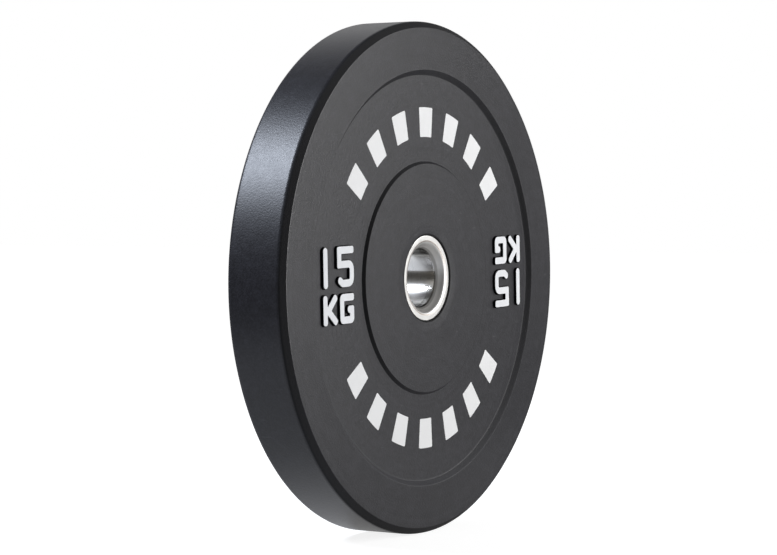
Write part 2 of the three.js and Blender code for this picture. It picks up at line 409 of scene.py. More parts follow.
class Finish:
    """A node tree with one method that adds a node."""

    def __init__(self, tree):
        tree.nodes.clear()
        self.tree = tree

    def node(self, kind, settings=None, sockets=None):
        """A node of a type, with its settings made first and then its sockets set or linked."""
        made = self.tree.nodes.new(kind)
        for key, value in (settings or {}).items():
            setattr(made, key, value)
        for key, value in (sockets or {}).items():
            if isinstance(value, Signal):
                self.tree.links.new(value.socket, made.inputs[key])
            else:
                made.inputs[key].default_value = value
        return Signal(self, made)

    def place(self):
        """Object coordinates."""
        return self.node("ShaderNodeTexCoord").out("Object")

    def parted(self, vector):
        """The X, Y and Z of a vector."""
        axes = self.node("ShaderNodeSeparateXYZ", None, {"Vector": vector})
        return axes, axes.out("Y"), axes.out("Z")

    def vector(self, x, y, z):
        """A vector of its X, Y and Z."""
        return self.node("ShaderNodeCombineXYZ", None, {"X": x, "Y": y, "Z": z})

    def noise(self, vector, scale, detail=2.0, roughness=0.5):
        """Noise between 0 and 1 at a scale per metre."""
        sockets = {"Vector": vector, "Scale": scale, "Detail": detail, "Roughness": roughness}
        return self.node("ShaderNodeTexNoise", None, sockets)

    def mixed(self, factor, first, second):
        """Two colours mixed by a factor. The colours' sockets are numbers 6, 7 and 2."""
        first, second = (c if isinstance(c, Signal) else (*c, 1.0) for c in (first, second))
        sockets = {0: factor, 6: first, 7: second}
        return self.node("ShaderNodeMix", {"data_type": "RGBA"}, sockets).out(2)

    def toned(self, shade, *layers):
        """A colour with layers over it, each a mask and its colour."""
        for mask, tone in layers:
            shade = self.mixed(mask, shade, tone)
        return shade

    def bump(self, height, distance, strength=1.0, normal=None):
        """A Bump node on a height between 0 and 1, over another one's normal if given."""
        sockets = {"Height": height, "Distance": distance, "Strength": strength}
        if normal is not None:
            sockets["Normal"] = normal
        return self.node("ShaderNodeBump", None, sockets)

    def surface(self, colour, roughness, normal, metallic=0.0, specular=0.5):
        """A Principled shader on the output."""
        shader = self.node("ShaderNodeBsdfPrincipled", None, {
            "Base Color": colour, "Metallic": metallic, "Roughness": roughness,
            "Specular IOR Level": specular, "Normal": normal,
        })
        self.node("ShaderNodeOutputMaterial", None, {"Surface": shader})


def new_material(name, base, metallic, roughness):
    """An empty node material, with plain values for the viewport."""
    made = bpy.data.materials.new(name)
    made.use_nodes = True
    made.diffuse_color = (*base, 1.0)
    made.metallic = metallic
    made.roughness = roughness
    return made, Finish(made.node_tree)


def scaled(base, by):
    """A colour times a number, held to 1."""
    return tuple(min(c * by, 1.0) for c in base)


# Marks on the rubber: scuffs, dust, and painted light on the lower part of the recess wall
SCUFF_TONE = (0.11, 0.11, 0.115)
DUST_TONE = (0.074, 0.073, 0.089)
LEDGE_LIGHT_TONE = (0.055, 0.055, 0.062)

# Parts of the steel: the flat lip, the bore's wall and its painted reflections, as bands from the
# top down, the line at the lip's inner edge, and painted shade at the mouth of the bore
LIP_TONE = (0.76, 0.75, 0.73)
BORE_TONE = (0.68, 0.65, 0.60)
BORE_DARK_REFLECTION_TONE = (0.03, 0.028, 0.026)
BORE_BRIGHT_REFLECTION_TONE = (0.95, 0.94, 0.92)
BORE_BELT_REFLECTION_TONE = (0.12, 0.11, 0.10)
BORE_FOOT_REFLECTION_TONE = (0.15, 0.145, 0.14)
LIP_EDGE_LINE_TONE = (0.35, 0.25, 0.19)
MOUTH_SHADE_TONE = (0.05, 0.045, 0.04)


def rubber_material(scene):
    """Satin moulded rubber with a fine grain, grey dust and a few light scuffs.

    Painted shade makes it darker beside the lip, on the recess wall, at the boss's edge and on
    the chamfer, and painted light makes the lower part of the recess wall paler. The rim has the
    mould's turned grooves.
    """
    finishes, sizes = scene.bumper_plate_finishes, scene.bumper_plate_sizes
    base, dullness = tuple(finishes.rubber), finishes.rubber_roughness
    material, finish = new_material("moulded_rubber", base, 0.0, dullness)
    place = finish.place()
    x, y, z = finish.parted(place)
    radius = (x * x + z * z) ** 0.5
    ring = finish.vector(radius, 0.0, 0.0)
    streaks = finish.node(
        "ShaderNodeMapping", None, {"Vector": place, "Scale": (30.0, 30.0, 420.0)})
    cloud = finish.noise(place, 9.0, 3.0)
    mottle = finish.noise(place, 120.0, 4.0, 0.6)
    speck = finish.noise(place, 620.0, 1.0, 0.6)
    fleck = finish.noise(place, 380.0, 2.0, 0.7)
    groove = finish.noise(ring, 1500.0, 1.0)
    swirl = finish.noise(ring, 260.0, 2.0, 0.6)
    scuff = finish.noise(streaks, 1.0, 3.0, 0.65).step(0.66, 0.74) * mottle.step(0.45, 0.6)

    outer, inner = PLATE_RADIUS, PLATE_RADIUS - sizes.rim_width
    boss_radius = sizes.boss_radius
    rim = radius.band((outer - 45 * MM, outer - 42 * MM), (outer - 6 * MM, outer - 5 * MM))
    shade_beside_lip = 1.0 - radius.step(LIP_RADIUS + 1.3 * MM, LIP_RADIUS + 1.7 * MM)
    wall = radius.band(
        (inner - 6.8 * MM, inner - 2.4 * MM), (inner + 0.1 * MM, inner + 0.6 * MM))
    boss = radius.band(
        (boss_radius - 0.6 * MM, boss_radius - 0.1 * MM),
        (boss_radius + 2.0 * MM, boss_radius + 2.5 * MM))
    face = abs(y).step(FACE_Y - 5.4 * MM, FACE_Y - 4.4 * MM)
    chamfer = face * radius.step(outer - CHAMFER_RUN, outer - 5.3 * MM)
    aside = abs(x) / radius
    # Painted light: the lower half of the recess wall is made paler
    lit_ledge = wall * (z / radius * -1.0).clamped()
    # Painted shade: darker beside the lip, on the recess wall and at the boss's edge, most at
    # their sides, and on the chamfer
    edge = shade_beside_lip + wall * (aside * 0.65 + 0.15) + boss * (aside * 0.8 + 0.2) + chamfer * 0.8

    tone = (cloud - 0.5) * 0.5 + (mottle - 0.5) * 0.5 + 0.5
    dust = (fleck - 0.42).clamped() * 0.25 + (speck - 0.4).clamped() * 0.35
    dust = dust + (mottle - 0.45).clamped() * 0.35 + (swirl - 0.46).clamped() * 0.3
    shade = finish.toned(
        finish.mixed(tone.clamped(), scaled(base, 0.82), scaled(base, 1.2)),
        (scuff * 0.35, SCUFF_TONE),
        (dust, DUST_TONE),
        (edge, scaled(base, 0.3)),
        (lit_ledge * 0.6, LEDGE_LIGHT_TONE),
    )
    roughness = (mottle - 0.5) * 0.06 + (speck - 0.5) * 0.08 + dullness + scuff * 0.1
    roughness = roughness - rim * 0.04 + edge * 0.5 + (swirl - 0.5) * 0.1
    grain = finish.bump((speck - 0.5) * (face * 0.4 + 1.0) + 0.5, 0.11 * MM, finishes.grain)
    grooved = finish.bump(groove * rim, 0.15 * MM, finishes.grooves, grain)
    finish.surface(shade, roughness.clamped(), grooved)
    return material


def white_material(scene):
    """Smooth white skin with a slightly grey, faintly uneven face."""
    base, dullness = tuple(scene.bumper_plate_finishes.white), 0.45
    material, finish = new_material("satin_white", base, 0.0, dullness)
    place = finish.place()
    soft = finish.noise(place, 160.0, 2.0)
    dust = finish.noise(place, 1500.0, 2.0, 0.6)
    shade = finish.toned(
        finish.mixed(soft, scaled(base, 0.95), scaled(base, 1.03)),
        (dust.step(0.62, 0.8) * 0.1, (0.5, 0.5, 0.5)),
    )
    finish.surface(shade, (soft - 0.5) * 0.12 + dullness, finish.bump(dust, 0.04 * MM, 0.2))
    return material


def print_material(scene):
    """Flat white ink with a fine screen texture."""
    base, dullness = tuple(scene.bumper_plate_finishes.print_white), 0.5
    material, finish = new_material("printed_white", base, 0.0, dullness)
    place = finish.place()
    soft = finish.noise(place, 60.0, 3.0)
    fine = finish.noise(place, 1800.0, 1.0)
    shade = finish.mixed(soft, scaled(base, 0.96), scaled(base, 1.02))
    finish.surface(shade, (fine - 0.5) * 0.1 + dullness, finish.bump(fine, 0.03 * MM, 0.3))
    return material


def stainless_material(scene):
    """Turned stainless steel, with tool lines round the axis in bump and in tone.

    It has faint handling marks, a brushed lip and cone, painted reflections as light and dark
    bands along the bore, and painted shade at its mouth.
    """
    base = tuple(scene.bumper_plate_finishes.stainless)
    bore_radius = scene.bumper_plate_sizes.bore_radius
    dullness = 0.30
    material, finish = new_material("turned_stainless", base, 1.0, dullness)
    place = finish.place()
    x, y, z = finish.parted(place)
    radius = (x * x + z * z) ** 0.5
    across = finish.vector(radius, y, 0.0)
    lines = finish.noise(across, 2600.0, 3.0, 0.7)
    bands = finish.noise(across, 420.0, 2.0, 0.6)
    smear = finish.noise(place, 90.0, 3.0, 0.6)

    def out(distance):
        """A radius a distance in millimetres outside the bore's wall."""
        return bore_radius + distance * MM

    lip = radius.step(out(2.0), out(5.0))
    bore = 1.0 - radius.step(out(0.3), out(1.2))
    cone = (1.0 - lip) * (1.0 - bore)
    # Painted shade: a dark ring at the mouth of the bore
    mouth = radius.band((out(0.1), out(0.3)), (out(1.6), out(2.4)))
    # A brownish line where the lip meets the cone
    lip_edge_line = radius.band((out(6.7), out(7.0)), (out(7.6), out(8.0)))

    # Painted reflections: bright and dark bands along the bore, set by height
    rise = z / bore_radius
    fall = rise * -1.0
    top = rise.step(0.74, 0.84) * bore
    upper = rise.step(0.18, 0.24) * bore
    belt = rise.band((-0.2, 0.08), (0.18, 0.24)) * bore
    foot = fall.step(0.42, 0.62) * bore
    bottom = fall.step(0.84, 0.96) * bore

    shade = finish.toned(
        finish.mixed(lines, scaled(base, 0.90), scaled(base, 1.06)),
        (lip, LIP_TONE),
        (bore, BORE_TONE),
        (upper, BORE_BRIGHT_REFLECTION_TONE),
        (belt * 0.6, BORE_BELT_REFLECTION_TONE),
        (top * 0.85, BORE_DARK_REFLECTION_TONE),
        (foot * 0.75, BORE_FOOT_REFLECTION_TONE),
        (bottom * 0.8, BORE_DARK_REFLECTION_TONE),
        (lip_edge_line * 0.6, LIP_EDGE_LINE_TONE),
        (mouth * 0.4, MOUTH_SHADE_TONE),
    )
    roughness = (lines - 0.5) * 0.14 + (smear - 0.5) * 0.12 + (bands - 0.5) * 0.08 + dullness
    roughness = roughness + lip * 0.11 + cone * 0.20 - bore * 0.06 + foot * 0.20
    finish.surface(shade, roughness.clamped(), finish.bump(lines, 0.02 * MM, 0.35), metallic=1.0)
    return material


def mild_material(scene):
    """Plain cut mild steel with mill scale and a dull weld."""
    base, dullness = tuple(scene.bumper_plate_finishes.mild), 0.5
    material, finish = new_material("scaled_steel", base, 1.0, dullness)
    place = finish.place()
    scale = finish.noise(place, 140.0, 4.0, 0.65)
    fine = finish.noise(place, 1400.0, 2.0)
    shade = finish.mixed(scale.step(0.4, 0.65), scaled(base, 0.55), scaled(base, 1.1))
    roughness = (scale - 0.5) * 0.3 + dullness
    finish.surface(shade, roughness.clamped(), finish.bump(fine, 0.05 * MM, 0.4), metallic=1.0)
    return material


def shaded_rubber_material(scene):
    """Dull black rubber of the characters' sides and border, darker as painted shade on them"""
    base, dullness = scaled(tuple(scene.bumper_plate_finishes.rubber), 0.4), 0.85
    material, finish = new_material("dull_rubber", base, 0.0, dullness)
    mottle = finish.noise(finish.place(), 400.0, 3.0)
    shade = finish.mixed(mottle, scaled(base, 0.7), scaled(base, 1.3))
    finish.surface(shade, dullness, finish.bump(mottle, 0.05 * MM, 0.5), specular=0.15)
    return material


MAKERS = {
    "dull_rubber": shaded_rubber_material,
    "moulded_rubber": rubber_material,
    "satin_white": white_material,
    "printed_white": print_material,
    "turned_stainless": stainless_material,
    "scaled_steel": mild_material,
}


def finish_of(name, scene):
    """The named material, made the first time it is asked for."""
    return bpy.data.materials.get(name) or MAKERS[name](scene)


def disc_profile(sizes):
    """Closed loop (r, y) of the rubber disc, from the anchor plate's pocket out to the tread.

    Each point has the radius of its rounding. The back half mirrors the front one.
    """
    rim_inner = PLATE_RADIUS - sizes.rim_width
    web_y = FACE_Y - sizes.recess_depth
    boss_y = FACE_Y - sizes.boss_drop
    pocket_y = LIP_Y - FLANGE_DEPTH - BOND_GAP
    seat = LIP_RADIUS + BOND_GAP
    grip = SLEEVE_RADIUS + BOND_GAP
    neck = SLEEVE_RADIUS + FIT_GAP + COLLAR_WALL + BOND_GAP
    soft = sizes.edge_round
    half = np.array([
        (ANCHOR_RADIUS + BOND_GAP, ANCHOR_Y + BOND_GAP, 0),
        (BEAD_RADIUS + BOND_GAP, ANCHOR_Y + BOND_GAP, 0),
        (grip, BEAD_Y + BOND_GAP, 0),
        (grip, COLLAR_END_Y - BOND_GAP, 0),
        (neck, COLLAR_END_Y - BOND_GAP, 0),
        (neck, pocket_y, 0),
        (seat, pocket_y, 0),
        (seat, LIP_Y + 1.0 * MM, 0.25 * MM),
        (seat + 3 * MM, LIP_Y + 1.3 * MM, 3 * MM),
        (seat + 9 * MM, boss_y, 30 * MM),
        (sizes.boss_radius, boss_y, soft),
        (sizes.boss_radius + BOSS_RUN, web_y, 0.6 * MM),
        (rim_inner - WALL_RUN, web_y, 1.2 * MM),
        (rim_inner, FACE_Y, soft),
        (PLATE_RADIUS - CHAMFER_RUN, FACE_Y, 1.0 * MM),
        (PLATE_RADIUS, FACE_Y - CHAMFER_DEPTH, 4.5 * MM),
    ])
    whole = np.concatenate([half * (1, -1, 1), half[::-1]])
    return rounded_loop(whole[:, :2], whole[:, 2])


def flow_pins():
    """Rubber that fills the anchor plate's holes and notches: short round bars on two circles.

    The holes stand midway between the welds and the plate's edge, and the notches on its edge.
    """
    ring_inner = SLEEVE_RADIUS + WELD_REACH
    ring = ANCHOR_RADIUS - ring_inner
    reach = ANCHOR_Y + BOND_GAP
    t = np.linspace(0, 2 * math.pi, 32, endpoint=False)
    pins = []
    for index in range(FLOW_OPENINGS):
        turn = 2 * math.pi * index / FLOW_OPENINGS
        notch = index % 2
        radius = ring * (NOTCH_SHARE if notch else HOLE_SHARE) - BOND_GAP
        circle = ANCHOR_RADIUS if notch else (ANCHOR_RADIUS + ring_inner) / 2
        centre = np.array([circle * math.cos(turn), circle * math.sin(turn)])
        loop = centre + radius * np.stack([np.cos(t), np.sin(t)], -1)
        pins.append(raised(loop, [(0, reach), (0, -reach)]))
    return joined(pins)


# Strokes of each character: places of its centre line in shares of the box of its centre lines,
# and the radius that rounds the outside of the turn or end there, in shares of the stroke
CHARACTERS = {
    "digit_1": [(0, 1, 0.47), (0, 0, 0.47)],
    "digit_5": [
        (1, 1, 0.34), (0, 1, 0.3), (0, 0.573, 0.25), (1, 0.573, 1.25), (1, 0, 1.25),
        (0.24, 0, 1.0), (0.05, 0.085, 0.49),
    ],
    "letter_k": [(0.97, 1, 0.42), (0.29, 0.48, 0.05), (1, 0, 0.42)],
    "letter_g": [
        (1, 1, 0.32), (0, 1, 0.75), (0, 0, 0.75), (1, 0, 0.75), (1, 0.46, 0.32),
        (0.77, 0.46, 0.42),
    ],
}
# Radii of the letter K's upright at its ends and at the arms, in shares of the stroke
UPRIGHT_ROUND = 0.42
ARMPIT_ROUND = 0.06

# Characters of the number and of its unit below it: sizes, strokes and steps to the next one
NUMBER_HEIGHT = 34.0 * MM
UNIT_HEIGHT = 25.1 * MM
LINE_SPACING = 5.7 * MM
NUMBER_STROKE = 6.15 * MM
UNIT_STROKE = 6.1 * MM
DIGIT_WIDTH = 24.7 * MM
DIGIT_PITCH = 20.5 * MM
LETTER_WIDTH = 20.9 * MM
LETTER_PITCH = 24.8 * MM

# Where a marking stands, from the middle of the web's width at the bore's height, and its turn
MARKING_DROP = 3.05 * MM
MARKING_TURN = math.radians(1.9)
MARKING_TOP = (NUMBER_HEIGHT + LINE_SPACING + UNIT_HEIGHT) / 2 - MARKING_DROP
MARKING_LEFT = -23.6 * MM
DIGITS_LEFT = MARKING_LEFT + 1.1 * MM
NUMBER_FOOT = MARKING_TOP - NUMBER_HEIGHT
UNIT_FOOT = NUMBER_FOOT - LINE_SPACING - UNIT_HEIGHT

# The white skin: its visible thickness, its top, which stands above the frame's, how far it sinks
# into the rubber, and the ring inside its rounded edge that holds the top flat
SKIN_SHOWN = 0.12 * MM
SKIN_TOP_Y = MARKING_TOP_Y + 0.4 * MM
SKIN_SUNK = 0.02 * MM
SKIN_HOLD = 0.08 * MM

# The rubber below it: the rounding of its top edge, and how far it reaches into the web
BASE_ROUND = 0.35 * MM
BASE_SUNK = 1.0 * MM

# Steps of a rounded corner or edge on the characters
CORNER_STEPS = 5

# Width, height and stroke of each character, and its lower left corner from the marking's centre
PLACED = {
    "digit_1": (NUMBER_STROKE, NUMBER_HEIGHT, NUMBER_STROKE, DIGITS_LEFT, NUMBER_FOOT),
    "digit_5": (
        DIGIT_WIDTH, NUMBER_HEIGHT, NUMBER_STROKE, DIGITS_LEFT + DIGIT_PITCH, NUMBER_FOOT),
    "letter_k": (LETTER_WIDTH, UNIT_HEIGHT, UNIT_STROKE, MARKING_LEFT, UNIT_FOOT),
    "letter_g": (
        LETTER_WIDTH, UNIT_HEIGHT, UNIT_STROKE, MARKING_LEFT + LETTER_PITCH, UNIT_FOOT),
}


def stroke_corners(line, radii, stroke):
    """Corners and radii down the left side of a stroke and back up its right side.

    A corner lies on the sum of the edges' normals, scaled so that it is half a stroke from both
    centre lines. The radius rounds the outside. The inside gets the radius less the stroke, and at
    least a tenth of the stroke.
    """
    along = unit(np.diff(line, axis=0))
    points = line.copy()
    points[0] -= along[0] * stroke / 2
    points[-1] += along[-1] * stroke / 2
    before = np.concatenate([along[:1], along])
    after = np.concatenate([along, along[-1:]])
    total = before + after
    reach = (stroke / 2 / (1 + (before * after).sum(-1)))[:, None]
    aside = np.stack([-total[:, 1], total[:, 0]], -1) * reach
    turn = before[:, 0] * after[:, 1] - before[:, 1] * after[:, 0]
    ends = np.zeros(len(line), bool)
    ends[[0, -1]] = True
    inner = np.maximum(radii - stroke, 0.1 * stroke)
    left = np.where(ends | (turn < 0), radii, inner)
    right = np.where(ends | (turn > 0), radii, inner)
    corners = np.concatenate([points + aside, (points - aside)[::-1]])
    return corners, np.concatenate([left, right[::-1]])


def crossing(first, second, x):
    """The point at x on the line through two points."""
    portion = (x - first[0]) / (second[0] - first[0])
    return first + (second - first) * portion


def character_loop(name):
    """Closed outline (x, z) of a character, turned with its marking about the marking's centre.

    The letter K is the outline of its two arms, cut off at the right side of an upright.
    """
    width, height, stroke, left, foot = PLACED[name]
    shares = np.array(CHARACTERS[name], float)
    line = stroke / 2 + shares[:, :2] * (width - stroke, height - stroke)
    corners, radii = stroke_corners(line, shares[:, 2] * stroke, stroke)
    if name == "letter_k":
        end, armpit = UPRIGHT_ROUND * stroke, ARMPIT_ROUND * stroke
        upper = crossing(corners[5], corners[4], stroke)
        lower = crossing(corners[3], corners[4], stroke)
        arms = [3, 2, 1, 0, 5]
        corners = np.array([
            (0, 0), (stroke, 0), lower, *corners[arms], upper, (stroke, height), (0, height)])
        radii = np.array([end, end, armpit, *radii[arms], armpit, end, end])
    loop = rounded_loop(corners + (left, foot), radii, CORNER_STEPS, hold=0.15 * MM)
    cosine, sine = math.cos(MARKING_TURN), math.sin(MARKING_TURN)
    return loop @ np.array([(cosine, sine), (-sine, cosine)])


def marking_radius(sizes):
    """Middle of the web's width."""
    outer = PLATE_RADIUS - sizes.rim_width - WALL_RUN
    return (outer + sizes.boss_radius + BOSS_RUN) / 2


def quarter_levels(inset, foot_y, radius):
    """Levels of a rounded top edge: from the foot of its quarter arc up and over it."""
    t = np.linspace(0, math.pi / 2, CORNER_STEPS + 1)
    return [(inset + radius * (1 - math.cos(a)), foot_y - radius * math.sin(a)) for a in t]


def characters(sizes, levels):
    """Each character of each marking: its name, its side and marking, and its raised shape.

    A shape is moved left to the middle of the web and then turned to its marking and side.
    """
    for side, where, name in itertools.product(SIDES, MARKINGS, PLACED):
        points, quads, caps = raised(character_loop(name), levels)
        points = (points - (marking_radius(sizes), 0, 0)) * MARKINGS[where] * SIDES[side]
        yield name, f"{side}_{where}", (points, quads, caps)


class PLATE_OT_rubber_disc(bpy.types.Operator):
    """Moulded rubber disc with its rim, recessed web, boss and the pocket for the steel insert"""

    bl_idname = "plate.rubber_disc"
    bl_label = "Rubber Disc"

    def execute(self, context):
        sizes = context.scene.bumper_plate_sizes
        rubber = finish_of("moulded_rubber", context.scene)
        disc = turned(disc_profile(sizes), sizes.disc_turns)
        piece("rubber_disc", disc, rubber, ["rubber_body"])
        piece("rubber_flow_pins", flow_pins(), rubber)
        return {"FINISHED"}


class PLATE_OT_marking_bases(bpy.types.Operator):
    """Raised rubber bodies of the characters, wider at the foot and rounded at the top"""

    bl_idname = "plate.marking_bases"
    bl_label = "Marking Bases"

    def execute(self, context):
        sizes = context.scene.bumper_plate_sizes
        # The characters' bodies get a darker rubber, painted shade on their sides
        rubber = finish_of("dull_rubber", context.scene)
        web_y = sizes.recess_depth - FACE_Y
        top_y = SKIN_SHOWN - SKIN_TOP_Y
        border = -sizes.character_border
        foot = border - sizes.character_draft
        levels = [
            (foot, web_y + BASE_SUNK), (foot, web_y),
            *quarter_levels(border, top_y + BASE_ROUND, BASE_ROUND),
        ]
        for name, where, shape in characters(sizes, levels):
            piece(f"{name}_base_{where}", shape, rubber)
        return {"FINISHED"}


class PLATE_OT_marking_tops(bpy.types.Operator):
    """White skins on the raised characters, with softly rounded edges"""

    bl_idname = "plate.marking_tops"
    bl_label = "Marking Tops"

    def execute(self, context):
        sizes = context.scene.bumper_plate_sizes
        white = finish_of("satin_white", context.scene)
        soft = 0.8 * SKIN_SHOWN
        levels = [
            (0, SKIN_SHOWN + SKIN_SUNK - SKIN_TOP_Y),
            *quarter_levels(0, soft - SKIN_TOP_Y, soft),
            (soft + SKIN_HOLD, -SKIN_TOP_Y),
        ]
        for name, where, shape in characters(sizes, levels):
            piece(f"{name}_top_{where}", shape, white, [f"{name}_{where}"])
        return {"FINISHED"}


class PLATE_OT_printed_arcs(bpy.types.Operator):
    """Flat printed arcs above and below the boss: rows of short bars"""

    bl_idname = "plate.printed_arcs"
    bl_label = "Printed Arcs"

    def execute(self, context):
        sizes = context.scene.bumper_plate_sizes
        ink = finish_of("printed_white", context.scene)
        inner, outer = sizes.arc_inner_radius, sizes.arc_outer_radius
        middle = (inner + outer) / 2
        web_y = sizes.recess_depth - FACE_Y
        ink_y = web_y - INK_HEIGHT
        levels = [
            (0, web_y + INK_BEVEL), (0, web_y - INK_BEVEL), (INK_BEVEL, ink_y),
            (4 * INK_BEVEL, ink_y),
        ]
        bars = []
        for number in range(BARS):
            turn = 90 + BAR_TURN * (number - (BARS - 1) / 2)
            low, high = np.radians([turn - BAR_SPAN / 2, turn + BAR_SPAN / 2])
            corners = [
                (low * middle, inner), (high * middle, inner),
                (high * middle, outer), (low * middle, outer),
            ]
            loop = dense_loop(rounded_loop(corners, 1.2 * MM), 1.5 * MM)
            bend, radius = loop[:, 0] / middle, loop[:, 1]
            bent = np.stack([radius * np.cos(bend), radius * np.sin(bend)], -1)
            bars.append(raised(bent, levels))
        for side in SIDES:
            parts = [
                (points * (half, 1, half) * SIDES[side], quads, caps)
                for half in (1, -1) for points, quads, caps in bars
            ]
            piece(f"printed_arcs_{side}", joined(parts), ink)
        return {"FINISHED"}


class PLATE_OT_hub_collars(bpy.types.Operator):
    """Turned stainless collars: flat lip, conical lead-in and the socket for the sleeve"""

    bl_idname = "plate.hub_collars"
    bl_label = "Hub Collars"

    def execute(self, context):
        sizes = context.scene.bumper_plate_sizes
        steel = finish_of("turned_stainless", context.scene)
        bore = sizes.bore_radius
        socket = SLEEVE_RADIUS + FIT_GAP
        neck = socket + COLLAR_WALL
        flange_y = LIP_Y - FLANGE_DEPTH
        corners = np.array([
            (bore + CONE_RUN, LIP_Y, 4.8 * MM),
            (bore, LIP_Y - CONE_DEPTH, 0.8 * MM),
            (bore, SLEEVE_END_Y + FIT_GAP, 0),
            (socket, SLEEVE_END_Y + FIT_GAP, 0),
            (socket, COLLAR_END_Y, 0),
            (neck, COLLAR_END_Y, 0.3 * MM),
            (neck, flange_y, 0.4 * MM),
            (LIP_RADIUS, flange_y, 0.3 * MM),
            (LIP_RADIUS, LIP_Y, 0.7 * MM),
        ])
        loop = rounded_loop(corners[:, :2] * (1, -1), corners[:, 2], steps=8)
        points, quads, caps = turned(loop, sizes.hub_turns)
        for side in SIDES:
            shape = (points * SIDES[side], quads, caps)
            piece(f"turned_collar_{side}", shape, steel, [f"hub_collar_{side}"])
        return {"FINISHED"}


class PLATE_OT_hub_sleeve(bpy.types.Operator):
    """Stainless tube between the collars"""

    bl_idname = "plate.hub_sleeve"
    bl_label = "Hub Sleeve"

    def execute(self, context):
        sizes = context.scene.bumper_plate_sizes
        steel = finish_of("turned_stainless", context.scene)
        bore = sizes.bore_radius
        corners = [
            (bore, -SLEEVE_END_Y), (SLEEVE_RADIUS, -SLEEVE_END_Y),
            (SLEEVE_RADIUS, SLEEVE_END_Y), (bore, SLEEVE_END_Y),
        ]
        sleeve = turned(rounded_loop(corners, 0.25 * MM, steps=3), sizes.hub_turns)
        piece("bored_sleeve", sleeve, steel, ["hub_sleeve"])
        return {"FINISHED"}


def rippled_bead():
    """Weld bead as a ring with a three-cornered section, its free side rippled round the turn t.

    Its distance from the root shrinks by the ripples' depth times 1 + cos(n t - s h), with n
    ripples and the slant s at the height h, and by less near the two sides that lie on the steel.
    """
    root, foot = SLEEVE_RADIUS + FIT_GAP, ANCHOR_Y + FIT_GAP
    corners = [(root, foot), (BEAD_RADIUS, foot), (root, BEAD_Y)]
    loop = dense_loop(rounded_loop(corners, 0.3 * MM, steps=3), 0.4 * MM)
    points, quads, caps = turned(loop * (1, -1), BEAD_TURNS)
    grid = points.reshape(BEAD_TURNS, -1, 3)
    t = np.linspace(0, 2 * math.pi, BEAD_TURNS, endpoint=False)[:, None]
    reach = np.hypot(grid[..., 0], grid[..., 2]) - root
    height = -grid[..., 1] - foot
    free = np.clip(np.minimum(reach, height) / RIPPLE_EDGE, 0, 1)
    ripple = 1 - free * RIPPLE_DEPTH * (1 + np.cos(RIPPLES * t - RIPPLE_SLANT * height))
    radius = root + reach * ripple
    points = np.stack([radius * np.sin(t), -(foot + height * ripple), radius * np.cos(t)], -1)
    return points.reshape(-1, 3), quads, caps


class PLATE_OT_hub_inside(bpy.types.Operator):
    """Weld beads with their ripples, and the finish of the anchor plate"""

    bl_idname = "plate.hub_inside"
    bl_label = "Hub Inside"

    def execute(self, context):
        steel = finish_of("scaled_steel", context.scene)
        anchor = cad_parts["anchor_plate"]
        anchor.data.materials.clear()
        anchor.data.materials.append(steel)
        points, quads, caps = rippled_bead()
        for side in SIDES:
            shape = (points * SIDES[side], quads, caps)
            piece(f"rippled_weld_{side}", shape, steel, [f"weld_bead_{side}"])
        return {"FINISHED"}


# Lamps: place, what each faces, width and height in metres, and tint
HUB = (0, 0, 0)
NEUTRAL = (1.0, 1.0, 1.0)
LAMPS = {
    "front": ((0.842, -1.806, 0.174), HUB, (0.8, 0.8), NEUTRAL),
    "key": ((1.199, -1.379, 0.813), HUB, (0.8, 0.8), NEUTRAL),
    "side": ((1.872, -0.681, 0.174), HUB, (0.8, 0.8), NEUTRAL),
    "back": ((-0.983, 0.926, 1.144), (-0.202, 0, 0.099), (0.35, 0.62), (0.80, 0.87, 1.0)),
    "right": ((1.684, 0.488, 0.96), HUB, (0.4, 0.4), NEUTRAL),
    "top": ((0.95, 0.9, 1.05), (-0.08, 0, 0.2), (0.9, 0.9), NEUTRAL),
}

# The point that the camera faces, from the hub to its own right and up, and the floor's reach
AIM_RIGHT = -11.59 * MM
AIM_UP = 0.02 * MM
FLOOR_REACH = 12.0


def lamp(name, radiance):
    """A rectangular lamp of a given radiance, its power being radiance times area times pi."""
    place, target, (width, height), tint = LAMPS[name]
    data = bpy.data.lights.new(f"{name}_softbox", "AREA")
    data.shape = "RECTANGLE"
    data.size, data.size_y = width, height
    data.energy = radiance * width * height * math.pi
    data.color = tint
    made = bpy.data.objects.new(f"{name}_softbox", data)
    bpy.context.scene.collection.objects.link(made)
    made.location = place
    made.rotation_euler = (Vector(target) - Vector(place)).to_track_quat("-Z", "Y").to_euler()
    made.visible_camera = False


